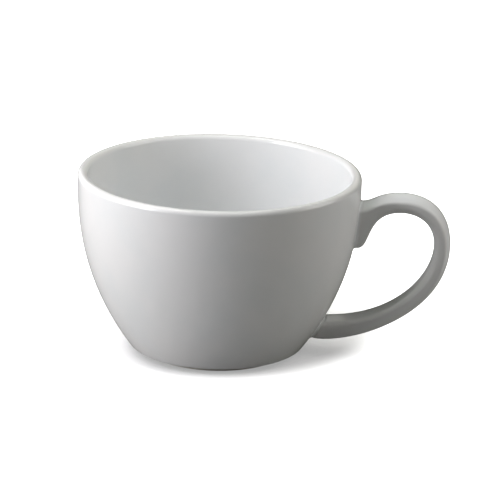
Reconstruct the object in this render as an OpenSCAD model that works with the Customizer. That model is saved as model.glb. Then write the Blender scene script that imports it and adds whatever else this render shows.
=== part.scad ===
// Cappuccino cup in white glazed porcelain: a round bowl on a small foot ring,
// with a strap handle luted on at two roots. Millimetres, +Z up.
// The origin is on the bowl's axis, in the plane that the foot ring stands on.
// The handle points along +X.

/* [Bowl] */
// Outside diameter at the rim
rim_diameter = 100; // [90:1:120]
// Height from the table to the top of the lip
cup_height = 65.5; // [60:0.5:80]
// Thickness of the rounded lip
lip_thickness = 3.6; // [2.8:0.1:4.6]
// Thickness of the wall low down, where it meets the floor
low_wall_thickness = 5; // [4.6:0.1:6.5]
// Diameter that the curve of the wall would reach at the table
heel_diameter = 58.4; // [54:0.2:64]
// Fullness of the wall's curve: 1 is a straight cone, more is rounder
wall_fullness = 2.4; // [1.8:0.1:3]
// Height of the inside floor above the table, at its centre
floor_height = 7.2; // [6:0.1:10]
// Height at which the inside wall turns into the floor
floor_turn_height = 15; // [12:0.5:22]

/* [Foot] */
// Outside diameter of the foot ring
foot_diameter = 51.5; // [46:0.5:54]
// Width of the foot ring
foot_width = 3.4; // [2.4:0.1:5]
// Height of the bowl's underside above the table, outside the ring
foot_height = 2.6; // [2:0.1:4]
// Depth of the hollow inside the ring
foot_hollow_depth = 1.8; // [1.2:0.1:3]
// Rounding of the edges that the ring stands on
foot_edge_radius = 0.5; // [0.2:0.1:0.9]
// Fillet between the ring and the underside
foot_fillet_radius = 0.8; // [0.4:0.1:1]
// Rounding of the heel, where the wall turns under the bowl
heel_radius = 0.8; // [0.4:0.1:1.6]

/* [Handle] */
// How far the handle reaches out past the rim
handle_projection = 32; // [26:0.5:40]
// Drop from the lip to the top of the handle
handle_top_drop = 5.6; // [3:0.1:9]
// Distance from the rim out to the highest place of the handle
handle_top_offset = 14.6; // [12:0.2:18]
// Drop from the lip to the place that reaches out farthest
handle_reach_drop = 24.1; // [20:0.1:28]
// Thickness of the strap, from its outer face to the finger gap
strap_thickness = 5.8; // [4.8:0.1:7]
// Width of the strap
strap_width = 11.5; // [9:0.5:14]
// Crown of the strap's outer face, from its edges up to its middle
outer_crown = 1.8; // [1:0.1:2.4]
// Rounding of the two outer edges
outer_edge_radius = 1.4; // [0.6:0.1:1.8]
// Crown of the face beside the finger gap
gap_crown = 0.5; // [0.2:0.1:1]
// Rounding of the two edges beside the finger gap
gap_edge_radius = 1.2; // [0.6:0.1:1.6]

/* [Handle roots] */
// Drop from the lip to the top of the upper root
upper_root_drop = 9.1; // [8:0.1:12]
// Height of the upper root along the wall
upper_root_height = 15.8; // [13:0.1:18]
// Height of the lower root's underside above the table
lower_root_lift = 5.7; // [4.8:0.1:8]
// Height of the lower root
lower_root_height = 6.5; // [6:0.1:10]
// Width of both roots at the wall
root_width = 13; // [12:0.1:16]
// Thickness of the slip that holds each root to the wall
slip_thickness = 1; // [0.6:0.1:1.6]
// How far the sponged slip spreads round each root
slip_spread = 0.8; // [0.4:0.1:1.2]

/* [Hidden] */

// Facets of the turned bowl, and steps along its curves
turn_facets = 160;
wall_steps = 22;
floor_steps = 12;
lip_steps = 12;
edge_steps = 4;

// Rings along the handle's three stretches, steps round each edge and half crown of a ring,
// steps up the slip, and the shares at which the ends of the roots are ringed again
stretch_rings = [16, 14, 20];
strap_edge_steps = 3;
crown_steps = 4;
slip_steps = 3;
cap_shares = [0.75, 0.5, 0.25];

rim_radius = rim_diameter / 2;
lip_radius = lip_thickness / 2;
heel_reach = heel_diameter / 2;
lip_base = cup_height - lip_radius;
foot_outside = foot_diameter / 2;
foot_inside = foot_outside - foot_width;

// Heights of the handle and its roots
handle_top = cup_height - handle_top_drop;
reach_height = cup_height - handle_reach_drop;
upper_root_top = cup_height - upper_root_drop;
upper_root_bottom = upper_root_top - upper_root_height;
lower_root_bottom = lower_root_lift;
lower_root_top = lower_root_bottom + lower_root_height;
top_across = rim_radius + handle_top_offset;
reach_across = rim_radius + handle_projection;

// Directions in which the outer and the inner line leave the roots, degrees above level
outer_root_rise = 9;
inner_root_rise = -6;
outer_low_rise = -7;
inner_low_rise = 1;

// Pull of each line's curve before and after its four places, as shares of the stretch it runs along
outer_pull_shares = [0.29, 0.58, 0.37, 0.5, 0.45, 0.21];
inner_pull_shares = [0.27, 0.66, 0.21, 0.62, 0.28, 0.51];

// Points of a circular arc, from angle start to angle end
function arc(across, up, radius, start, end, steps) = [
    for (i = [0:steps])
        let (a = start + (end - start) * i / steps)
            [across + radius * cos(a), up + radius * sin(a)]
];

// Point at share t along a cubic curve through a and d, pulled towards b and c
function curve_point(a, b, c, d, t) =
    pow(1 - t, 3) * a + 3 * pow(1 - t, 2) * t * b + 3 * (1 - t) * t * t * c + t * t * t * d;

// Share of the wall's height that is still above height z
function wall_share(z) = 1 - z / lip_base;

// Outside radius of the wall at height z
function wall_radius(z) =
    rim_radius - (rim_radius - heel_reach) * pow(wall_share(z), wall_fullness);

// Growth of the outside radius with height at z
function wall_slope(z) =
    (rim_radius - heel_reach) * wall_fullness * pow(wall_share(z), wall_fullness - 1) / lip_base;

// Thickness of the wall at height z, level
function wall_thickness(z) =
    lip_thickness + (low_wall_thickness - lip_thickness) * pow(wall_share(z), 2);

// Inside radius of the bowl at height z
function inside_radius(z) = wall_radius(z) - wall_thickness(z);

// Underside: the hollow, the foot ring and the level stretch out to the heel
heel_angle = -atan(wall_slope(foot_height));
heel_centre_height = foot_height + heel_radius;
heel_end_height = heel_centre_height + heel_radius * sin(heel_angle);
heel_centre_across = wall_radius(heel_end_height) - heel_radius * cos(heel_angle);
hollow_fillet = min(foot_fillet_radius, foot_hollow_depth - foot_edge_radius);
ring_fillet = min(foot_fillet_radius, foot_height - foot_edge_radius);

underside_points = concat(
    [[0, foot_hollow_depth]],
    arc(foot_inside - hollow_fillet, foot_hollow_depth - hollow_fillet, hollow_fillet, 90, 0, edge_steps),
    arc(foot_inside + foot_edge_radius, foot_edge_radius, foot_edge_radius, 180, 270, edge_steps),
    arc(foot_outside - foot_edge_radius, foot_edge_radius, foot_edge_radius, 270, 360, edge_steps),
    arc(foot_outside + ring_fillet, foot_height - ring_fillet, ring_fillet, 180, 90, edge_steps),
    arc(heel_centre_across, heel_centre_height, heel_radius, 270, 360 + heel_angle, edge_steps)
);

// Outside wall, from the heel up to the lip
wall_points = [
    for (i = [1:wall_steps - 1])
        let (z = heel_end_height + (lip_base - heel_end_height) * i / wall_steps)
            [wall_radius(z), z]
];

lip_points = arc(rim_radius - lip_radius, lip_base, lip_radius, 0, 180, lip_steps);

// Inside wall, from the lip down to where it turns
inside_points = [
    for (i = [1:wall_steps - 1])
        let (z = lip_base + (floor_turn_height - lip_base) * i / wall_steps)
            [inside_radius(z), z]
];

// Floor: the wall's own direction runs on, then eases level at the centre
turn_point = [inside_radius(floor_turn_height), floor_turn_height];
floor_drop = floor_turn_height - floor_height;
floor_corner = [turn_point[0] - wall_slope(floor_turn_height) * floor_drop, floor_height];
wall_pull_share = 0.8;
floor_pull_share = 0.62;
floor_points = [
    for (i = [0:floor_steps])
        curve_point(
            turn_point,
            turn_point + (floor_corner - turn_point) * wall_pull_share,
            [floor_corner[0] * floor_pull_share, floor_height],
            [0, floor_height],
            i / floor_steps
        )
];

bowl_outline = concat(underside_points, wall_points, lip_points, inside_points, floor_points);

// Place on the outside of the wall's slip, out at height z and beside the middle by y
function seat(y, z, lift) = [sqrt(pow(wall_radius(z) + lift, 2) - y * y), y, z];

// Root end of a handle line: on the slip at height z
function root_place(z) = [wall_radius(z) + slip_thickness, z];

// Unit direction at an angle above level
function heading(angle) = [cos(angle), sin(angle)];

// Pull vectors of a handle line through root, top, reach and low root: the share of each stretch,
// laid along the line's own direction there
function line_curves(places, rise, low_rise, shares) =
    let (
        first = norm(places[1] - places[0]),
        second = norm(places[2] - places[1]),
        third = norm(places[3] - places[2])
    )
    [
        [
            places[0],
            places[0] + first * shares[0] * heading(rise),
            places[1] - first * shares[1] * heading(0),
            places[1]
        ],
        [
            places[1],
            places[1] + second * shares[2] * heading(0),
            places[2] + second * shares[3] * heading(90),
            places[2]
        ],
        [
            places[2],
            places[2] - third * shares[4] * heading(90),
            places[3] + third * shares[5] * heading(low_rise),
            places[3]
        ]
    ];

// Outer line of the handle, and the line round the finger gap
outer_curves = line_curves(
    [
        root_place(upper_root_top),
        [top_across, handle_top],
        [reach_across, reach_height],
        root_place(lower_root_bottom)
    ],
    outer_root_rise,
    outer_low_rise,
    outer_pull_shares
);
inner_curves = line_curves(
    [
        root_place(upper_root_bottom),
        [top_across, handle_top - strap_thickness],
        [reach_across - strap_thickness, reach_height],
        root_place(lower_root_top)
    ],
    inner_root_rise,
    inner_low_rise,
    inner_pull_shares
);

// Place along one of the lines: whole numbers of travel are the ends of its stretches
function line_place(curves, travel) =
    let (k = min(floor(travel), len(curves) - 1))
        curve_point(curves[k][0], curves[k][1], curves[k][2], curves[k][3], travel - k);

// How near travel is to a root: 1 at the root, 0 from one stretch away
function root_nearness(travel) = max(1 - travel, travel - 2, 0);

// Half of one crowned face of the strap, from its edge to its middle, grown all round by spread.
// The edge is an arc that runs on into the crown's own arc.
function crowned_half(half_width, half_height, crown, edge_radius, spread) =
    let (
        crown_radius = (pow(half_width, 2) + pow(crown, 2)) / (2 * crown),
        crown_centre = half_height - crown_radius,
        edge_across = half_width - edge_radius,
        edge_centre = crown_centre + sqrt(pow(crown_radius - edge_radius, 2) - pow(edge_across, 2)),
        meet_angle = atan2(edge_centre - crown_centre, edge_across),
        edge_arc = arc(edge_across, edge_centre, edge_radius + spread, 0, meet_angle, strap_edge_steps),
        crown_arc = arc(0, crown_centre, crown_radius + spread, meet_angle, 90, crown_steps)
    )
    concat(edge_arc, [for (i = [1:crown_steps]) crown_arc[i]]);

function reversed(list) = [for (i = [len(list) - 1:-1:0]) list[i]];

function without_first(list) = [for (i = [1:len(list) - 1]) list[i]];

// The strap's section: distances across it, and through it towards the outer face
function section(width, height, spread) =
    let (
        outer = crowned_half(width / 2, height / 2, outer_crown, outer_edge_radius, spread),
        gap = crowned_half(width / 2, height / 2, gap_crown, gap_edge_radius, spread)
    )
    concat(
        outer,
        [for (place = without_first(reversed(outer))) [-place[0], place[1]]],
        [for (place = gap) [-place[0], -place[1]]],
        [for (place = without_first(reversed(gap))) [place[0], -place[1]]]
    );

// One ring of the strap: the section stands between the two lines
function strap_ring(travel) =
    let (
        outer = line_place(outer_curves, travel),
        inner = line_place(inner_curves, travel),
        middle = (outer + inner) / 2,
        height = norm(outer - inner),
        outward = (outer - inner) / height,
        near = root_nearness(travel),
        width = strap_width + (root_width - strap_width) * pow(near, 3),
        wrap_share = pow(near, 4)
    )
    [
        for (spot = section(width, height, 0))
            let (
                place = middle + outward * spot[1],
                curve_back = place[0] - sqrt(pow(place[0], 2) - pow(spot[0], 2))
            )
                [place[0] - curve_back * wrap_share, spot[0], place[1]]
    ];

// One ring of a root, which follows the wall between the heights of its gap side and its outer side,
// lifted off it, grown by spread and shrunk to a share about its middle
function root_ring(gap_side, outer_side, lift, spread, shrink_share) =
    let (
        middle = (gap_side + outer_side) / 2,
        outward = sign(outer_side - gap_side)
    )
    [
        for (spot = section(root_width, abs(outer_side - gap_side), spread) * shrink_share)
            seat(spot[0], middle + outward * spot[1], lift)
    ];

// Rings from the edge of a root in to its middle, edge ring left out
function cap_rings(gap_side, outer_side, lift, spread) = [
    for (share = cap_shares)
        root_ring(gap_side, outer_side, lift, spread, share)
];

function cap_centre(gap_side, outer_side, lift) = seat(0, (gap_side + outer_side) / 2, lift);

// Solid through a list of rings, closed by a point at each end
module ringed_solid(first, rings, last) {
    count = len(rings[0]);
    points = concat([first], [for (ring = rings) for (point = ring) point], [last]);
    last_index = len(points) - 1;
    last_ring = len(rings) - 1;
    start_faces = [
        for (i = [0:count - 1])
            [0, 1 + (i + 1) % count, 1 + i]
    ];
    side_faces = [
        for (k = [0:last_ring - 1])
            for (i = [0:count - 1])
                let (
                    a = 1 + k * count + i,
                    b = 1 + k * count + (i + 1) % count
                )
                for (face = [[a, b, b + count], [a, b + count, a + count]])
                    face
    ];
    end_faces = [
        for (i = [0:count - 1])
            [last_index, 1 + last_ring * count + i, 1 + last_ring * count + (i + 1) % count]
    ];
    polyhedron(points = points, faces = concat(start_faces, side_faces, end_faces), convexity = 4);
}

// Slip between the wall and one root: a hollow fillet from the wall up to the root's own edge
module slip_joint(gap_side, outer_side) {
    fillet_rings = [
        for (i = [0:slip_steps])
            let (a = 90 * i / slip_steps)
                root_ring(
                    gap_side,
                    outer_side,
                    slip_thickness * (1 - cos(a)),
                    slip_spread * (1 - sin(a)),
                    1
                )
    ];
    rings = concat(
        reversed(cap_rings(gap_side, outer_side, 0, slip_spread)),
        fillet_rings,
        cap_rings(gap_side, outer_side, slip_thickness, 0)
    );
    wall_centre = cap_centre(gap_side, outer_side, 0);
    root_centre = cap_centre(gap_side, outer_side, slip_thickness);

    // At the lower root the strap comes back to the wall, so its rings run the other way
    if (outer_side > gap_side)
        ringed_solid(wall_centre, rings, root_centre);
    else
        ringed_solid(root_centre, reversed(rings), wall_centre);
}

// Bowl: wall, lip, floor and foot ring are one turned piece
module bowl() {
    color("white")
        rotate_extrude($fn = turn_facets)
            polygon(bowl_outline);
}

// Handle: a strap whose section follows the outer line and the line round the finger gap
module handle() {
    travels = [
        for (k = [0:len(stretch_rings) - 1])
            for (i = [(k == 0 ? 1 : 0):stretch_rings[k] - 1])
                k + i / stretch_rings[k]
    ];
    rings = concat(
        reversed(cap_rings(upper_root_bottom, upper_root_top, slip_thickness, 0)),
        [root_ring(upper_root_bottom, upper_root_top, slip_thickness, 0, 1)],
        [for (travel = travels) strap_ring(travel)],
        [root_ring(lower_root_top, lower_root_bottom, slip_thickness, 0, 1)],
        cap_rings(lower_root_top, lower_root_bottom, slip_thickness, 0)
    );
    color("white")
        ringed_solid(
            cap_centre(upper_root_bottom, upper_root_top, slip_thickness),
            rings,
            cap_centre(lower_root_top, lower_root_bottom, slip_thickness)
        );
}

// Slip under the upper root
module upper_handle_joint() {
    color("whitesmoke")
        slip_joint(upper_root_bottom, upper_root_top);
}

// Slip under the lower root
module lower_handle_joint() {
    color("whitesmoke")
        slip_joint(lower_root_top, lower_root_bottom);
}

bowl();
handle();
upper_handle_joint();
lower_handle_joint();
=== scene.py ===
"""Cappuccino cup in white glazed porcelain: a turned bowl on a foot ring, with a cast strap handle.

The cup's four pieces are built round the fixed frame, dressed in glaze and set on a pale studio floor.
Lengths are in metres, +Z is up and the handle points along +X.
"""

import logging
import math
from dataclasses import dataclass, field
from enum import Enum
from typing import Sequence

import bmesh
import bpy
from mathutils import Matrix, Vector
from mathutils.geometry import interpolate_bezier


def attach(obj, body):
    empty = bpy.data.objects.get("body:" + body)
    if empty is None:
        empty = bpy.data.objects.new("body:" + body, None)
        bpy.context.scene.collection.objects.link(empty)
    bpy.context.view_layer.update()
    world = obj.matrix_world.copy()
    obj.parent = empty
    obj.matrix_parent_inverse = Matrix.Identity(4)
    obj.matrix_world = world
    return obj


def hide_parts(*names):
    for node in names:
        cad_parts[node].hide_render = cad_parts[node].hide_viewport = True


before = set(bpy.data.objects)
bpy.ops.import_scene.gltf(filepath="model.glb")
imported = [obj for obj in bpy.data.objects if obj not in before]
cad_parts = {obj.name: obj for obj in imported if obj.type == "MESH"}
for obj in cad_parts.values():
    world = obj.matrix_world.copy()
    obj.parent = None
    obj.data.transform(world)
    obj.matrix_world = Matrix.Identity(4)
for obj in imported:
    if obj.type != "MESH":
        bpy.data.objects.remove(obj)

LOG = logging.getLogger("cup")
ROOT_BODY = "root"
MERGE_DISTANCE = 1e-6
MILLIMETRES = 1000

Colour = tuple[float, float, float]
Span = tuple[float, float]
Settings = dict[str, object]

BLACK: Colour = (0.0, 0.0, 0.0)
WHITE: Colour = (1.0, 1.0, 1.0)

# How many finer layers a noise has
SMOOTH, SOFT, FINE, PATCHY = 1.0, 2.0, 3.0, 4.0
NOISE_MIDDLE = 0.5

# A spot is solid out to the first share of its radius, and the second share of the spots show in full
SPOT_CORE = 0.4
SPOT_FULL = 0.7

# A Mix node's sockets for its share and its two colours, and for its coloured result
MIX_INPUTS = (0, 6, 7)
MIX_RESULT = 2


class Root(Enum):
    """The handle's two ends on the wall, with the way from the gap side to the outer side."""

    UPPER = 1
    LOWER = -1


class Line(Enum):
    """The two lines that the strap runs between."""

    OUTER = "outer face"
    GAP = "finger gap"


# Curves and rings


def arc(centre: Vector, radius: float, start: float, end: float, steps: int) -> list[Vector]:
    """Places points along a circular arc.

    Args:
        centre: Centre of the arc, across and up.
        radius: Radius of the arc.
        start: Angle of the first point, in degrees.
        end: Angle of the last point, in degrees.
        steps: Number of stretches between points.

    Returns:
        The points from start to end, both included.
    """
    angles = [math.radians(start + (end - start) * i / steps) for i in range(steps + 1)]
    return [centre + radius * Vector((math.cos(a), math.sin(a))) for a in angles]


def heading(degrees: float) -> Vector:
    """Returns the unit direction at an angle above level, across and up."""
    return Vector((math.cos(math.radians(degrees)), math.sin(math.radians(degrees))))


def add_ring(bm: bmesh.types.BMesh, points: Sequence[Vector]) -> list[bmesh.types.BMEdge]:
    """Adds a closed ring of edges.

    Args:
        bm: Mesh under construction.
        points: Where the ring runs, in order.

    Returns:
        The ring's edges.
    """
    circle = bmesh.ops.create_circle(bm, cap_ends=False, segments=len(points), radius=1.0)
    for vert, point in zip(circle["verts"], points):
        vert.co = point
    return list(dict.fromkeys(edge for vert in circle["verts"] for edge in vert.link_edges))


def loft(bm: bmesh.types.BMesh, rings: Sequence[Sequence[Vector]]) -> None:
    """Bridges a row of rings into a skin and closes both ends.

    Args:
        bm: Mesh under construction.
        rings: The rings in order, all with the same number of points.
    """
    loops = [add_ring(bm, ring) for ring in rings]
    for near, far in zip(loops, loops[1:]):
        bmesh.ops.bridge_loops(bm, edges=near + far)
    for face in bm.faces:
        face.smooth = True
    for end in (loops[0], loops[-1]):
        cap = bmesh.ops.edgeloop_fill(bm, edges=end)["faces"]
        for face in bmesh.ops.poke(bm, faces=cap)["faces"]:
            face.smooth = False


def spin_round(bm: bmesh.types.BMesh, outline: Sequence[Vector], steps: int) -> None:
    """Turns an outline round the Z axis into a closed skin.

    Args:
        bm: Mesh under construction.
        outline: Points of the outline, across and up, from axis to axis.
        steps: Number of facets round the axis.
    """
    verts = [bm.verts.new((point.x, 0.0, point.y)) for point in outline]
    edges = [bm.edges.new(pair) for pair in zip(verts, verts[1:])]
    bmesh.ops.spin(
        bm,
        geom=verts + edges,
        cent=(0, 0, 0),
        axis=(0, 0, 1),
        angle=math.tau,
        steps=steps,
        use_merge=True,
    )
    for face in bm.faces:
        face.smooth = True


def finish_piece(bm: bmesh.types.BMesh, name: str, node: str) -> bpy.types.Object:
    """Turns a bmesh into a piece that rides on the cup and stands for its solid.

    Args:
        bm: Mesh to close; it is freed.
        name: Name of the piece.
        node: Solid of the frame that the piece replaces.

    Returns:
        The finished piece.
    """
    bmesh.ops.remove_doubles(bm, verts=bm.verts, dist=MERGE_DISTANCE)
    bmesh.ops.recalc_face_normals(bm, faces=bm.faces)
    mesh = bpy.data.meshes.new(name)
    bm.to_mesh(mesh)
    bm.free()
    piece = bpy.data.objects.new(name, mesh)
    bpy.context.scene.collection.objects.link(piece)
    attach(piece, ROOT_BODY)
    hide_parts(node)
    return piece


# Shader expressions


class Shade:
    """A number, vector or colour in a node tree. Arithmetic on numbers adds Math nodes."""

    def __init__(self, bench: "Bench", socket: bpy.types.NodeSocket) -> None:
        """Wraps one output socket of a node on the bench."""
        self.bench = bench
        self.socket = socket

    def math(self, operation: str, *others: "Shade | float") -> "Shade":
        """Returns a Math node's result for this value and the others."""
        inputs = dict(enumerate((self, *others)))
        return self.bench.node("ShaderNodeMath", {"operation": operation}, inputs)

    def __add__(self, other: "Shade | float") -> "Shade":
        """Returns the sum."""
        return self.math("ADD", other)

    __radd__ = __add__

    def __sub__(self, other: "Shade | float") -> "Shade":
        """Returns the difference."""
        return self.math("SUBTRACT", other)

    def __rsub__(self, other: float) -> "Shade":
        """Returns the difference from a number."""
        return self.bench.node("ShaderNodeMath", {"operation": "SUBTRACT"}, {0: other, 1: self})

    def __mul__(self, other: "Shade | float") -> "Shade":
        """Returns the product."""
        return self.math("MULTIPLY", other)

    __rmul__ = __mul__

    def __truediv__(self, other: "Shade | float") -> "Shade":
        """Returns the quotient."""
        return self.math("DIVIDE", other)

    def __pow__(self, exponent: float) -> "Shade":
        """Returns the power."""
        return self.math("POWER", exponent)

    def __abs__(self) -> "Shade":
        """Returns the absolute value."""
        return self.math("ABSOLUTE")

    def step(self, low: float, high: float) -> "Shade":
        """Returns a smooth step from 0 at low to 1 at high."""
        ends = {"Value": self, "From Min": low, "From Max": high}
        return self.bench.node("ShaderNodeMapRange", {"interpolation_type": "SMOOTHSTEP"}, ends)


class Bench:
    """Adds nodes to the tree of one material or world."""

    def __init__(self, tree: bpy.types.NodeTree) -> None:
        """Clears the tree and starts on it."""
        tree.nodes.clear()
        self.tree = tree

    def node(
        self,
        kind: str,
        settings: Settings | None = None,
        inputs: dict[str | int, object] | None = None,
        output: str | int = 0,
    ) -> Shade:
        """Adds one node.

        Args:
            kind: Type of the node.
            settings: Its own settings, which are set first.
            inputs: Values or links of its sockets, by name or number.
            output: Socket whose result is wanted.

        Returns:
            The wanted output.
        """
        made = self.tree.nodes.new(kind)
        for name, value in (settings or {}).items():
            setattr(made, name, value)
        for name, value in (inputs or {}).items():
            if isinstance(value, Shade):
                self.tree.links.new(value.socket, made.inputs[name])
            else:
                made.inputs[name].default_value = value
        return Shade(self, made.outputs[output] if len(made.outputs) else None)

    def mix(self, share: Shade | float, first: Shade | Colour, second: Shade | Colour) -> Shade:
        """Mixes two colours.

        Args:
            share: How much of the second colour shows.
            first: Colour at share 0.
            second: Colour at share 1.

        Returns:
            The mixed colour.
        """
        ends = [value if isinstance(value, Shade) else (*value, 1.0) for value in (first, second)]
        inputs = dict(zip(MIX_INPUTS, (share, *ends)))
        return self.node("ShaderNodeMix", {"data_type": "RGBA"}, inputs, MIX_RESULT)

    def combine(self, x: Shade | float, y: Shade | float, z: Shade | float) -> Shade:
        """Returns the vector of three numbers."""
        return self.node("ShaderNodeCombineXYZ", {}, {0: x, 1: y, 2: z})

    def noise(self, vector: Shade, size: float, detail: float = SOFT, roughness: float = 0.5) -> Shade:
        """Adds soft noise.

        Args:
            vector: Where the noise is read.
            size: Length of one swell.
            detail: Number of finer layers.
            roughness: Share of each finer layer.

        Returns:
            The noise, about 0.5 in the middle.
        """
        inputs = {"Vector": vector, "Scale": 1.0 / size, "Detail": detail, "Roughness": roughness}
        return self.node("ShaderNodeTexNoise", {}, inputs)

    def spots(self, vector: Shade, size: float, radius: float, share: float) -> Shade:
        """Adds round spots in a random few of the cells of a grid.

        Args:
            vector: Where the spots are read.
            size: Size of one cell.
            radius: Radius of a spot.
            share: Share of the cells that have one.

        Returns:
            1 in the middle of a spot and 0 outside.
        """
        inputs = {"Vector": vector, "Scale": 1.0 / size}
        distance = self.node("ShaderNodeTexVoronoi", {}, inputs, "Distance")
        cell = self.node("ShaderNodeTexVoronoi", {}, inputs, "Color")
        draw = self.node("ShaderNodeSeparateColor", {}, {0: cell})
        disc = 1.0 - distance.step(SPOT_CORE * radius / size, radius / size)
        return disc * draw.step(1.0 - share, 1.0 - SPOT_FULL * share)


@dataclass
class Place:
    """Where a point of a piece is, for the finishes."""

    bench: Bench
    vector: Shade
    x: Shade
    y: Shade
    z: Shade
    across: Shade

    @classmethod
    def on(cls, bench: Bench) -> "Place":
        """Reads the place from the piece's own coordinates.

        Args:
            bench: Bench of the material.

        Returns:
            The place.
        """
        vector = bench.node("ShaderNodeTexCoord", output="Object")
        x, y, z = (bench.node("ShaderNodeSeparateXYZ", {}, {0: vector}, axis) for axis in "XYZ")
        return cls(bench, vector, x, y, z, (x * x + y * y) ** 0.5)


# The cup


@dataclass(frozen=True)
class WallCurve:
    """Outside curve of the bowl, which the handle's roots follow too."""

    rim_radius: float = 0.0500
    heel_reach: float = 0.0292
    lip_base: float = 0.0637
    fullness: float = 2.4

    def share(self, height: float) -> float:
        """Returns the share of the wall that is still above a height."""
        return max(1.0 - height / self.lip_base, 0.0)

    def radius(self, height: float) -> float:
        """Returns the outside radius at a height."""
        return self.rim_radius - (self.rim_radius - self.heel_reach) * self.share(height) ** self.fullness

    def slope(self, height: float) -> float:
        """Returns the growth of the radius with height."""
        span = (self.rim_radius - self.heel_reach) * self.fullness / self.lip_base
        return span * self.share(height) ** (self.fullness - 1.0)

    def seat(self, aside: float, height: float, lift: float) -> Vector:
        """Places a point on the wall or out from it.

        Args:
            aside: Distance from the cup's middle plane.
            height: Height above the table.
            lift: Distance out from the wall.

        Returns:
            The point.
        """
        return Vector((math.sqrt((self.radius(height) + lift) ** 2 - aside**2), aside, height))

    def shaded_radius(self, z: Shade) -> Shade:
        """Returns the outside radius at a shaded height."""
        share = (1.0 - z / self.lip_base).math("MAXIMUM", 0.0)
        return self.rim_radius - share**self.fullness * (self.rim_radius - self.heel_reach)


@dataclass(frozen=True)
class Glaze:
    """Clear glaze over white porcelain, as it lies on every piece."""

    name: str
    body: Colour = (0.80, 0.80, 0.80)
    deep: Colour = (0.74, 0.765, 0.775)
    thin: Colour = (0.80, 0.785, 0.765)
    speck: Colour = (0.30, 0.25, 0.20)
    gloss: float = 0.13
    gloss_play: float = 0.05
    refraction: float = 1.5
    cloud_size: float = 0.018
    cloud_range: Span = (0.35, 0.75)
    cloud_strength: float = 0.5
    patch_size: float = 0.011
    patch_roughness: float = 0.6
    ripple_size: float = 0.0024
    ripple_height: float = 2.4e-6
    swell_size: float = 0.0096
    swell_height: float = 6.0e-6
    speck_cell: float = 0.007
    speck_radius: float = 0.00016
    speck_share: float = 0.16
    speck_strength: float = 0.6

    def colour(self, place: Place) -> Shade:
        """Colours the glaze: cloudy where its depth wanders, with a rare iron speck.

        Args:
            place: Place on the piece.

        Returns:
            The colour.
        """
        bench = place.bench
        cloud = bench.noise(place.vector, self.cloud_size, FINE).step(*self.cloud_range)
        base = bench.mix(cloud * self.cloud_strength, self.body, self.deep)
        specks = bench.spots(place.vector, self.speck_cell, self.speck_radius, self.speck_share)
        return bench.mix(specks * self.speck_strength, base, self.speck)

    def roughness(self, place: Place) -> Shade:
        """Returns the glaze's roughness: even, with faint duller patches."""
        patches = place.bench.noise(place.vector, self.patch_size, PATCHY, self.patch_roughness)
        return self.gloss + (patches - NOISE_MIDDLE) * self.gloss_play

    def height(self, place: Place) -> Shade:
        """Raises the glaze's surface: the ripple that it froze with, on slower swells.

        Args:
            place: Place on the piece.

        Returns:
            The height.
        """
        ripple = place.bench.noise(place.vector, self.ripple_size, SMOOTH)
        swell = place.bench.noise(place.vector, self.swell_size, SMOOTH)
        return ripple * self.ripple_height + swell * self.swell_height

    def make(self) -> bpy.types.Material:
        """Builds the material.

        Returns:
            The material, ready for a piece's slot.
        """
        material = bpy.data.materials.new(self.name)
        material.use_nodes = True
        bench = Bench(material.node_tree)
        place = Place.on(bench)
        normal = bench.node("ShaderNodeBump", {}, {"Distance": 1.0, "Height": self.height(place)})
        inputs = {
            "Base Color": self.colour(place),
            "Roughness": self.roughness(place),
            "Normal": normal,
            "IOR": self.refraction,
        }
        shader = bench.node("ShaderNodeBsdfPrincipled", {}, inputs)
        bench.node("ShaderNodeOutputMaterial", {}, {"Surface": shader})
        return material


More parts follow.
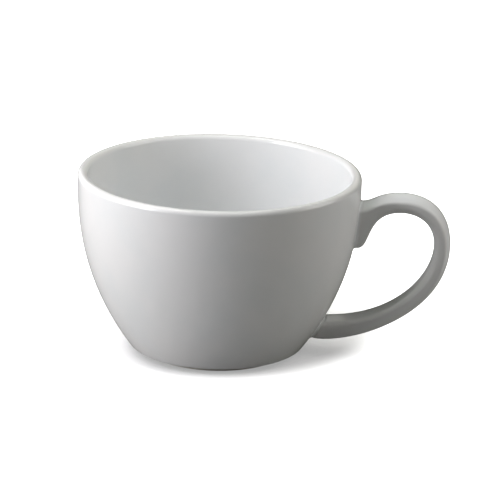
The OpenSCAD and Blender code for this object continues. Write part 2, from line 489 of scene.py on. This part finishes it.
@dataclass(frozen=True)
class BowlGlaze(Glaze):
    """Glaze of the bowl: thin on the lip, wiped off the foot ring, with faint turning rings."""

    wall: WallCurve = WallCurve()
    inside_depth: Span = (0.0014, 0.0024)
    lip_heights: Span = (0.0640, 0.0654)
    lip_strength: float = 0.6
    pool_heights: Span = (0.008, 0.020)
    pool_strength: float = 0.6
    biscuit: Colour = (0.66, 0.63, 0.58)
    biscuit_gloss: float = 0.78
    biscuit_grain: float = 0.0005
    biscuit_fleck: float = 0.25
    grit_size: float = 0.0004
    grit_height: float = 1.6e-5
    wiped_height: float = 0.0010
    wiped_edge: float = 0.0001
    wander_size: float = 0.004
    wander_height: float = 0.0008
    spoon_heights: Span = (0.010, 0.022)
    stroke_size: float = 0.004
    stroke_turn: float = 0.012
    stroke_squeeze: float = 8.0
    stroke_slice: float = 0.3
    stroke_range: Span = (0.62, 0.70)
    stroke_gloss: float = 0.12
    ring_size: float = 0.0022
    ring_height: float = 2.0e-6

    def bare(self, place: Place) -> Shade:
        """Finds the bare foot ring, whose edge wanders a little.

        Args:
            place: Place on the bowl.

        Returns:
            1 on the bare ring and 0 on the glaze.
        """
        wander = (place.bench.noise(place.vector, self.wander_size) - NOISE_MIDDLE) * self.wander_height
        low, high = self.wiped_height - self.wiped_edge, self.wiped_height + self.wiped_edge
        return 1.0 - (place.z + wander).step(low, high)

    def inside(self, place: Place) -> Shade:
        """Returns 1 on the inside of the bowl."""
        return (self.wall.shaded_radius(place.z) - place.across).step(*self.inside_depth)

    def colour(self, place: Place) -> Shade:
        """Colours the thin glaze of the lip, the pool on the floor and the bare ring.

        Args:
            place: Place on the bowl.

        Returns:
            The colour.
        """
        bench = place.bench
        lip = place.z.step(*self.lip_heights) * self.lip_strength
        pool = self.inside(place) * (1.0 - place.z.step(*self.pool_heights)) * self.pool_strength
        grain = bench.noise(place.vector, self.biscuit_grain, FINE)
        glazed = bench.mix(pool, bench.mix(lip, super().colour(place), self.thin), self.deep)
        fired = bench.mix(grain * self.biscuit_fleck, self.biscuit, self.speck)
        return bench.mix(self.bare(place), glazed, fired)

    def roughness(self, place: Place) -> Shade:
        """Dulls the glaze by a spoon's fine marks on the floor, and the bare foot ring much more.

        Args:
            place: Place on the bowl.

        Returns:
            The roughness.
        """
        bench = place.bench
        angle = place.y.math("ARCTAN2", place.x)
        turn, out = angle * self.stroke_turn, place.across * self.stroke_squeeze
        strokes = bench.noise(bench.combine(turn, out, self.stroke_slice), self.stroke_size)
        floor = self.inside(place) * (1.0 - place.z.step(*self.spoon_heights))
        marks = strokes.step(*self.stroke_range) * floor
        bare = self.bare(place)
        glazed = super().roughness(place) + marks * self.stroke_gloss
        return glazed * (1.0 - bare) + bare * self.biscuit_gloss

    def height(self, place: Place) -> Shade:
        """Raises turning rings under the glaze and grit on the bare ring.

        Args:
            place: Place on the bowl.

        Returns:
            The height.
        """
        bench = place.bench
        rings = bench.noise(bench.combine(place.across, 0.0, place.z), self.ring_size, SMOOTH)
        grit = bench.noise(place.vector, self.grit_size, FINE) * self.grit_height
        return super().height(place) + rings * self.ring_height + grit * self.bare(place)


@dataclass(frozen=True)
class StrapGlaze(Glaze):
    """Glaze of the handle: thin on its edges, over the sponged seam of its mould."""

    seam_width: float = 0.0006
    seam_height: float = 5.0e-6
    break_size: float = 0.006
    break_range: Span = (0.4, 0.6)
    edge_distances: Span = (0.0040, 0.0054)
    edge_strength: float = 0.35

    def height(self, place: Place) -> Shade:
        """Raises the broken trace of the mould's seam.

        Args:
            place: Place on the handle.

        Returns:
            The height.
        """
        seam = 1.0 - abs(place.y).step(0.0, self.seam_width)
        broken = place.bench.noise(place.vector, self.break_size).step(*self.break_range)
        return super().height(place) + seam * broken * self.seam_height

    def colour(self, place: Place) -> Shade:
        """Returns the colour, with the thinner glaze along the edges."""
        edge = abs(place.y).step(*self.edge_distances) * self.edge_strength
        return place.bench.mix(edge, super().colour(place), self.thin)


@dataclass(frozen=True)
class RootGlaze(Glaze):
    """Glaze of the slip round the roots, where it gathers in the fillet."""

    wall: WallCurve = WallCurve()
    gather_reach: float = 0.0009
    gather_strength: float = 0.5
    sponge_size: float = 0.0014
    sponge_height: float = 4.0e-6

    def colour(self, place: Place) -> Shade:
        """Colours the slip, deeper where the glaze has gathered against the wall.

        Args:
            place: Place on the joint.

        Returns:
            The colour.
        """
        lift = place.across - self.wall.shaded_radius(place.z)
        gathered = (1.0 - lift.step(0.0, self.gather_reach)) * self.gather_strength
        return place.bench.mix(gathered, super().colour(place), self.deep)

    def height(self, place: Place) -> Shade:
        """Returns the height, with the marks of the sponge under the glaze."""
        sponged = place.bench.noise(place.vector, self.sponge_size) * self.sponge_height
        return super().height(place) + sponged


@dataclass
class Bowl:
    """Wall, lip, floor and foot ring, turned in one piece."""

    wall: WallCurve = WallCurve()
    lip_thickness: float = 0.0036
    low_thickness: float = 0.0050
    thickening: float = 2.0
    floor_height: float = 0.0072
    floor_turn: float = 0.0150
    foot_outside: float = 0.02575
    foot_inside: float = 0.02235
    foot_height: float = 0.0026
    hollow_depth: float = 0.0018
    foot_edge: float = 0.0005
    foot_fillet: float = 0.0008
    heel_radius: float = 0.0008
    wall_pull: float = 0.8
    floor_pull: float = 0.62
    facets: int = 256
    wall_steps: int = 56
    floor_steps: int = 32
    lip_steps: int = 24
    edge_steps: int = 8

    def thickness(self, height: float) -> float:
        """Returns the wall's thickness at a height, measured level."""
        low_share = self.wall.share(height) ** self.thickening
        return self.lip_thickness + (self.low_thickness - self.lip_thickness) * low_share

    def inside_place(self, height: float) -> Vector:
        """Returns the place on the inside wall at a height, across and up."""
        return Vector((self.wall.radius(height) - self.thickness(height), height))

    def underside(self) -> list[Vector]:
        """Places the hollow, the foot ring and the level stretch out to the heel.

        Returns:
            Points from the axis to the heel.
        """
        hollow = min(self.foot_fillet, self.hollow_depth - self.foot_edge)
        outer = min(self.foot_fillet, self.foot_height - self.foot_edge)
        heel_angle = -math.degrees(math.atan(self.wall.slope(self.foot_height)))
        heel_up = self.foot_height + self.heel_radius
        heel_end = heel_up + self.heel_radius * math.sin(math.radians(heel_angle))
        heel_across = self.wall.radius(heel_end) - self.heel_radius * math.cos(math.radians(heel_angle))
        # Centre across and up, radius, and the angles between which each corner is rounded
        corners = [
            (self.foot_inside - hollow, self.hollow_depth - hollow, hollow, 90, 0),
            (self.foot_inside + self.foot_edge, self.foot_edge, self.foot_edge, 180, 270),
            (self.foot_outside - self.foot_edge, self.foot_edge, self.foot_edge, 270, 360),
            (self.foot_outside + outer, self.foot_height - outer, outer, 180, 90),
            (heel_across, heel_up, self.heel_radius, 270, 360 + heel_angle),
        ]
        points = [Vector((0.0, self.hollow_depth))]
        for across, up, radius, start, end in corners:
            points += arc(Vector((across, up)), radius, start, end, self.edge_steps)
        return points

    def outline(self) -> list[Vector]:
        """Places the whole outline of the turned bowl.

        Returns:
            Points from the underside's centre round the lip to the floor's centre.
        """
        points = self.underside()
        base, start = self.wall.lip_base, points[-1].y
        heights = [start + (base - start) * i / self.wall_steps for i in range(1, self.wall_steps)]
        points += [Vector((self.wall.radius(z), z)) for z in heights]
        lip = self.lip_thickness / 2
        points += arc(Vector((self.wall.rim_radius - lip, base)), lip, 0, 180, self.lip_steps)
        depth = self.floor_turn - base
        heights = [base + depth * i / self.wall_steps for i in range(1, self.wall_steps)]
        points += [self.inside_place(z) for z in heights]
        turn = self.inside_place(self.floor_turn)
        drop = self.floor_turn - self.floor_height
        corner = Vector((turn.x - self.wall.slope(self.floor_turn) * drop, self.floor_height))
        first_pull = turn + (corner - turn) * self.wall_pull
        last_pull = Vector((corner.x * self.floor_pull, self.floor_height))
        centre = Vector((0.0, self.floor_height))
        floor = interpolate_bezier(turn, first_pull, last_pull, centre, self.floor_steps + 1)
        return points + list(floor)

    def build(self) -> bpy.types.Object:
        """Turns the bowl and glazes it.

        Returns:
            The bowl.
        """
        bm = bmesh.new()
        spin_round(bm, self.outline(), self.facets)
        piece = finish_piece(bm, "bowl_turned", "bowl")
        piece.data.materials.append(BowlGlaze("bowl glaze").make())
        return piece


@dataclass(frozen=True)
class StrapSection:
    """Section of the strap: a crowned outer face, and a flat one with round edges beside the finger."""

    outer_crown: float = 0.0018
    outer_edge: float = 0.0014
    gap_crown: float = 0.0005
    gap_edge: float = 0.0030
    edge_steps: int = 8
    crown_steps: int = 10

    def crowned_half(
        self, half_width: float, half_height: float, side: Line, spread: float
    ) -> list[Vector]:
        """Places half of one face, from its edge to its middle.

        Args:
            half_width: Half of the strap's width.
            half_height: Half of its thickness.
            side: Which face it is.
            spread: How far the section is grown all round.

        Returns:
            Points as distances across the strap and through it.
        """
        outer = side is Line.OUTER
        crown, edge = (self.outer_crown, self.outer_edge) if outer else (self.gap_crown, self.gap_edge)
        crown_radius = (half_width**2 + crown**2) / (2 * crown)
        crown_centre = half_height - crown_radius
        edge_across = half_width - edge
        edge_centre = crown_centre + math.sqrt((crown_radius - edge) ** 2 - edge_across**2)
        meet = math.degrees(math.atan2(edge_centre - crown_centre, edge_across))
        points = arc(Vector((edge_across, edge_centre)), edge + spread, 0, meet, self.edge_steps)
        crest = arc(Vector((0, crown_centre)), crown_radius + spread, meet, 90, self.crown_steps)
        return points + crest[1:]

    def ring(self, width: float, height: float, spread: float = 0.0) -> list[Vector]:
        """Places the whole section.

        Args:
            width: Width of the strap.
            height: Thickness of the strap.
            spread: How far the section is grown all round.

        Returns:
            Points as distances across the strap and through it towards the outer face.
        """
        outer = self.crowned_half(width / 2, height / 2, Line.OUTER, spread)
        gap = self.crowned_half(width / 2, height / 2, Line.GAP, spread)
        points = outer + [Vector((-p.x, p.y)) for p in reversed(outer[:-1])]
        points += [Vector((-p.x, -p.y)) for p in gap]
        return points + [Vector((p.x, -p.y)) for p in reversed(gap[:-1])]


@dataclass(frozen=True)
class RootSeat:
    """Where one root stands on the wall."""

    root: Root
    gap_side: float
    outer_side: float

    def ring(
        self, wall: WallCurve, section: StrapSection, width: float, lift: float, spread: float
    ) -> list[Vector]:
        """Places a ring that follows the wall round the root.

        Args:
            wall: Outside curve of the bowl.
            section: Section of the strap.
            width: Width of the root.
            lift: Distance out from the wall.
            spread: How far the ring is grown all round.

        Returns:
            Points of the ring.
        """
        middle = (self.gap_side + self.outer_side) / 2
        height = abs(self.outer_side - self.gap_side)
        spots = section.ring(width, height, spread)
        return [wall.seat(spot.x, middle + self.root.value * spot.y, lift) for spot in spots]


@dataclass
class Handle:
    """The cast strap, which runs between an outer line and the line round the finger gap."""

    wall: WallCurve = WallCurve()
    section: StrapSection = StrapSection()
    upper: RootSeat = RootSeat(Root.UPPER, 0.0403, 0.0564)
    lower: RootSeat = RootSeat(Root.LOWER, 0.0127, 0.0057)
    top_across: float = 0.0646
    top_height: float = 0.0599
    reach_across: float = 0.0820
    reach_height: float = 0.0414
    top_thickness: float = 0.0063
    reach_thickness: float = 0.0059
    width: float = 0.0115
    root_width: float = 0.0130
    widening: int = 3
    wrapping: int = 4
    slip: float = 0.0010
    # Slopes at which each line leaves the upper root and meets the lower one, in degrees
    rises: dict[Line, tuple[float, float]] = field(
        default_factory=lambda: {Line.OUTER: (9.0, -7.0), Line.GAP: (-6.0, 1.0)}
    )
    # Pulls at both ends of each stretch, as shares of its length
    pulls: dict[Line, tuple[float, ...]] = field(
        default_factory=lambda: {
            Line.OUTER: (0.29, 0.58, 0.37, 0.50, 0.45, 0.21),
            Line.GAP: (0.27, 0.66, 0.21, 0.62, 0.265, 0.51),
        }
    )
    stretch_steps: tuple[int, ...] = (60, 50, 80)

    def corners(self, line: Line) -> list[Vector]:
        """Places root, top, reach and low root of one line.

        Args:
            line: Which line it is.

        Returns:
            The four places, across and up.
        """
        outer = line is Line.OUTER
        ends = [seat.outer_side if outer else seat.gap_side for seat in (self.upper, self.lower)]
        first, last = (Vector((self.wall.radius(z) + self.slip, z)) for z in ends)
        top = Vector((self.top_across, self.top_height))
        reach = Vector((self.reach_across, self.reach_height))
        if not outer:
            top.y -= self.top_thickness
            reach.x -= self.reach_thickness
        return [first, top, reach, last]

    def line(self, line: Line) -> list[Vector]:
        """Runs one line through its four places.

        Args:
            line: Which line it is.

        Returns:
            Points along it, as many for either line.
        """
        places = self.corners(line)
        leave, arrive = self.rises[line]
        out = [heading(leave), heading(0), heading(-90)]
        back = [heading(180), heading(90), heading(arrive)]
        pulls = self.pulls[line]
        points = places[:1]
        for k, steps in enumerate(self.stretch_steps):
            span = (places[k + 1] - places[k]).length
            first = places[k] + out[k] * span * pulls[2 * k]
            last = places[k + 1] + back[k] * span * pulls[2 * k + 1]
            points += list(interpolate_bezier(places[k], first, last, places[k + 1], steps + 1))[1:]
        return points

    def nearness(self, index: int) -> float:
        """Tells how near a ring is to a root.

        Args:
            index: Number of the ring, from the upper root.

        Returns:
            1 at a root and 0 from one stretch away.
        """
        first, _, last = self.stretch_steps
        count = sum(self.stretch_steps)
        return max(1 - index / first, 1 - (count - index) / last, 0.0)

    def rings(self) -> list[list[Vector]]:
        """Places the strap's rings from the upper root to the lower one.

        Returns:
            The rings in order.
        """
        rings = []
        for index, (outer, gap) in enumerate(zip(self.line(Line.OUTER), self.line(Line.GAP))):
            near = self.nearness(index)
            width = self.width + (self.root_width - self.width) * near**self.widening
            middle, outward = (outer + gap) / 2, (outer - gap).normalized()
            ring = []
            for spot in self.section.ring(width, (outer - gap).length):
                place = middle + outward * spot.y
                bend = (place.x - math.sqrt(place.x**2 - spot.x**2)) * near**self.wrapping
                ring.append(Vector((place.x - bend, spot.x, place.y)))
            rings.append(ring)
        rings[0] = self.upper.ring(self.wall, self.section, self.root_width, self.slip, 0.0)
        rings[-1] = self.lower.ring(self.wall, self.section, self.root_width, self.slip, 0.0)
        return rings

    def build(self) -> bpy.types.Object:
        """Lofts the strap and glazes it.

        Returns:
            The handle.
        """
        bm = bmesh.new()
        loft(bm, self.rings())
        piece = finish_piece(bm, "handle_strap", "handle")
        piece.data.materials.append(StrapGlaze("handle glaze").make())
        return piece


@dataclass
class SlipJoint:
    """The sponged slip that holds one root to the wall."""

    handle: Handle
    seat: RootSeat
    spread: float = 0.0008
    pull: float = 0.55
    beyond: int = 2
    steps: int = 12

    def rings(self) -> list[list[Vector]]:
        """Places the fillet's rings, which leave along the wall and meet the strap in its direction.

        Returns:
            The rings from the wall to the strap.
        """
        handle, wall, width = self.handle, self.handle.wall, self.handle.root_width
        strap = handle.rings()
        if self.seat.root is Root.LOWER:
            strap.reverse()
        foot = self.seat.ring(wall, handle.section, width, 0.0, self.spread)
        shadow = self.seat.ring(wall, handle.section, width, 0.0, 0.0)
        columns = []
        for start, under, end, ahead in zip(foot, shadow, strap[0], strap[self.beyond]):
            down = (end - ahead).normalized() * handle.slip
            first, last = start + (under - start) * self.pull, end + down * self.pull
            columns.append(interpolate_bezier(start, first, last, end, self.steps + 1))
        return [list(ring) for ring in zip(*columns)]

    def build(self) -> bpy.types.Object:
        """Lofts the fillet and glazes it.

        Returns:
            The joint.
        """
        word = self.seat.root.name.lower()
        bm = bmesh.new()
        loft(bm, self.rings())
        piece = finish_piece(bm, f"{word}_root_slip", f"{word}_handle_joint")
        piece.data.materials.append(RootGlaze(f"{word} slip glaze").make())
        return piece


# The studio


def way_to(azimuth: float, elevation: float) -> Vector:
    """Returns the unit direction out from the cup; azimuth 0 is the camera's side and 90 the handle's."""
    a, e = math.radians(azimuth), math.radians(elevation)
    return Vector((math.sin(a) * math.cos(e), -math.cos(a) * math.cos(e), math.sin(e)))


@dataclass(frozen=True)
class Glow:
    """One soft side of the light tent, far from the cup."""

    azimuth: float
    elevation: float
    colour: Colour
    tightness: float

    def shine(self, bench: Bench, view: Shade) -> Shade:
        """Shades the glow.

        Args:
            bench: Bench of the world.
            view: Direction that is looked in.

        Returns:
            The glow's light.
        """
        inputs = {0: view, 1: way_to(self.azimuth, self.elevation)}
        dot = bench.node("ShaderNodeVectorMath", {"operation": "DOT_PRODUCT"}, inputs, "Value")
        lobe = ((dot - 1.0) * self.tightness).math("EXPONENT")
        return bench.mix(lobe, BLACK, self.colour)


@dataclass(frozen=True)
class Softbox:
    """A square lamp with a soft front, turned to the cup."""

    azimuth: float
    elevation: float
    distance: float
    side: float
    power: float
    colour: Colour = WHITE

    def hang(self, aim: Vector) -> None:
        """Hangs the lamp.

        Args:
            aim: Place that it lights.
        """
        way = way_to(self.azimuth, self.elevation)
        data = bpy.data.lights.new("softbox", "AREA")
        data.shape, data.size, data.energy, data.color = "SQUARE", self.side, self.power, self.colour
        lamp = bpy.data.objects.new("softbox", data)
        turn = way.to_track_quat("Z", "Y").to_matrix().to_4x4()
        lamp.matrix_world = Matrix.Translation(aim + way * self.distance) @ turn
        lamp.visible_camera = False
        bpy.context.scene.collection.objects.link(lamp)


@dataclass
class Studio:
    """Pale floor, light tent and camera."""

    camera_distance: float = 1.0
    camera_elevation: float = 17.93
    camera_azimuth: float = 3.0
    camera_roll: float = 1.52
    focal_pixels: float = 2817.0
    frame_pixels: float = 500.0
    # Where the bowl's axis, at the aim's height, stands in the frame, in pixels from its top left
    aim: tuple[float, float] = (217.971, 259.544)
    aim_height: float = 0.0327
    sensor: float = 36.0
    clip: Span = (0.01, 10.0)
    floor_size: float = 3.0
    floor_drop: float = 0.00005
    # Shade of the floor as the cup sees it; as the camera sees it, the gain of its lighting and the
    # painted glow that it has everywhere
    floor_shade: float = 0.33
    floor_gain: float = 2.0
    painted_glow_base: float = 0.36
    # Reach and samples of the painted contact shadow that darkens the camera's floor near the cup
    painted_shade_reach: float = 0.040
    painted_shade_samples: int = 8
    # Distances over which the painted glow fades in round the painted shade's middle, and that middle,
    # across and behind the cup
    painted_glow_distances: Span = (0.053, 0.073)
    painted_shade_middle: tuple[float, float] = (-0.004, 0.028)
    lamp_aim: float = 0.035
    # Azimuth, elevation, distance, side, power and colour
    softboxes: tuple[Softbox, ...] = (
        Softbox(275.0, 62.0, 0.34, 0.18, 0.496, (1.0, 0.97, 1.0)),
        Softbox(280.0, 2.0, 0.34, 0.18, 0.230, (1.0, 0.92, 0.73)),
        Softbox(296.0, 22.0, 0.34, 0.18, 0.634, (0.935, 0.94, 1.0)),
        Softbox(90.0, 30.0, 0.30, 0.15, 0.214, (1.0, 0.985, 1.0)),
        Softbox(0.0, 85.0, 0.35, 0.20, 0.224, (0.90, 1.0, 0.90)),
        Softbox(160.0, 35.0, 0.50, 0.40, 0.234, (1.0, 1.0, 0.84)),
        Softbox(222.0, 16.0, 0.60, 0.40, 0.36),
    )
    # Azimuth, elevation, colour and tightness
    glows: tuple[Glow, ...] = (
        Glow(305.0, 16.0, (5.08, 5.01, 4.93), 40.0),
        Glow(85.0, 5.0, (2.07, 1.99, 1.67), 20.0),
    )

    def add_camera(self) -> None:
        """Sets the camera at the photograph's angle."""
        e, a, r = map(math.radians, (self.camera_elevation, self.camera_azimuth, self.camera_roll))
        forward = Vector((-math.sin(a) * math.cos(e), math.cos(a) * math.cos(e), -math.sin(e)))
        level = Vector((math.cos(a), math.sin(a), 0.0))
        over = level.cross(forward)
        right = level * math.cos(r) + over * math.sin(r)
        above = over * math.cos(r) - level * math.sin(r)
        middle = self.frame_pixels / 2
        aside = (self.aim[0] - middle) / self.focal_pixels
        below = (self.aim[1] - middle) / self.focal_pixels
        ray = forward + right * aside - above * below
        data = bpy.data.cameras.new("camera")
        data.sensor_width = self.sensor
        data.lens = self.sensor * self.focal_pixels / self.frame_pixels
        data.clip_start, data.clip_end = self.clip
        camera = bpy.data.objects.new("camera", data)
        turn = Matrix((right, above, -forward)).transposed().to_4x4()
        spot = Vector((0, 0, self.aim_height)) - ray * self.camera_distance
        camera.matrix_world = Matrix.Translation(spot) @ turn
        bpy.context.scene.collection.objects.link(camera)
        bpy.context.scene.camera = camera

    def add_floor(self) -> None:
        """Lays the pale floor; as the camera sees it, a painted contact shadow darkens it near the cup
        and a painted glow lights it outside a painted shade round the cup.
        """
        bm = bmesh.new()
        bmesh.ops.create_grid(bm, x_segments=1, y_segments=1, size=self.floor_size)
        bmesh.ops.translate(bm, vec=(0, 0, -self.floor_drop), verts=bm.verts)
        mesh = bpy.data.meshes.new("studio_floor")
        bm.to_mesh(mesh)
        bm.free()
        floor = bpy.data.objects.new("studio_floor", mesh)
        bpy.context.scene.collection.objects.link(floor)
        material = bpy.data.materials.new("studio floor")
        material.use_nodes = True
        bench = Bench(material.node_tree)
        seen = bench.node("ShaderNodeLightPath", output="Is Camera Ray")
        place = Place.on(bench)
        settings, reach = {"samples": self.painted_shade_samples}, {"Distance": self.painted_shade_reach}
        # Painted contact shadow: ambient occlusion darkens the floor's colour as the camera sees it
        painted_contact_shade = bench.node("ShaderNodeAmbientOcclusion", settings, reach, "AO")
        seen_colour = bench.mix(painted_contact_shade, BLACK, (self.floor_gain,) * 3)
        colour = bench.mix(seen, (self.floor_shade,) * 3, seen_colour)
        diffuse = bench.node("ShaderNodeBsdfDiffuse", {}, {"Color": colour})
        # Painted shade round a point behind the cup, with a painted glow outside it, seen by the camera
        # alone
        aside, behind = place.x - self.painted_shade_middle[0], place.y - self.painted_shade_middle[1]
        painted_glow_share = ((aside * aside + behind * behind) ** 0.5).step(*self.painted_glow_distances)
        lit = (painted_glow_share + self.painted_glow_base) * seen
        # The painted glow: an emission that only the camera sees, which lights nothing
        table = bench.node("ShaderNodeEmission", {}, {"Color": bench.mix(lit, BLACK, WHITE)})
        shader = bench.node("ShaderNodeAddShader", {}, {0: diffuse, 1: table})
        bench.node("ShaderNodeOutputMaterial", {}, {"Surface": shader})
        mesh.materials.append(material)

    def add_light(self) -> None:
        """Hangs the softboxes and sets the light tent: a few soft glows, and a white backdrop."""
        for softbox in self.softboxes:
            softbox.hang(Vector((0, 0, self.lamp_aim)))
        world = bpy.data.worlds.new("light tent")
        world.use_nodes = True
        bpy.context.scene.world = world
        bench = Bench(world.node_tree)
        view = bench.node("ShaderNodeTexCoord", output="Generated")
        total = None
        for glow in self.glows:
            lit = glow.shine(bench, view)
            inputs = {0: total, 1: lit}
            total = bench.node("ShaderNodeVectorMath", {"operation": "ADD"}, inputs) if total else lit
        seen = bench.node("ShaderNodeLightPath", output="Is Camera Ray")
        backdrop = bench.mix(seen, total, WHITE)
        shader = bench.node("ShaderNodeBackground", {}, {"Color": backdrop})
        bench.node("ShaderNodeOutputWorld", {}, {"Surface": shader})
        bpy.context.scene.view_settings.view_transform = "Standard"

    def build(self) -> None:
        """Builds floor, light and camera."""
        self.add_floor()
        self.add_light()
        self.add_camera()


def report(piece: bpy.types.Object) -> None:
    """Logs a piece's name and size."""
    size = " x ".join(f"{side * MILLIMETRES:.1f}" for side in piece.dimensions)
    LOG.info("%s: %d faces, %s mm", piece.name, len(piece.data.polygons), size)


def main() -> None:
    """Builds the cup and its studio, and logs each piece's size."""
    logging.basicConfig(level=logging.INFO, format="%(name)s: %(message)s")
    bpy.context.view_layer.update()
    report(Bowl().build())
    handle = Handle()
    report(handle.build())
    for seat in (handle.upper, handle.lower):
        report(SlipJoint(handle, seat).build())
    Studio().build()
    bpy.context.view_layer.update()


if __name__ == "__main__":
    main()
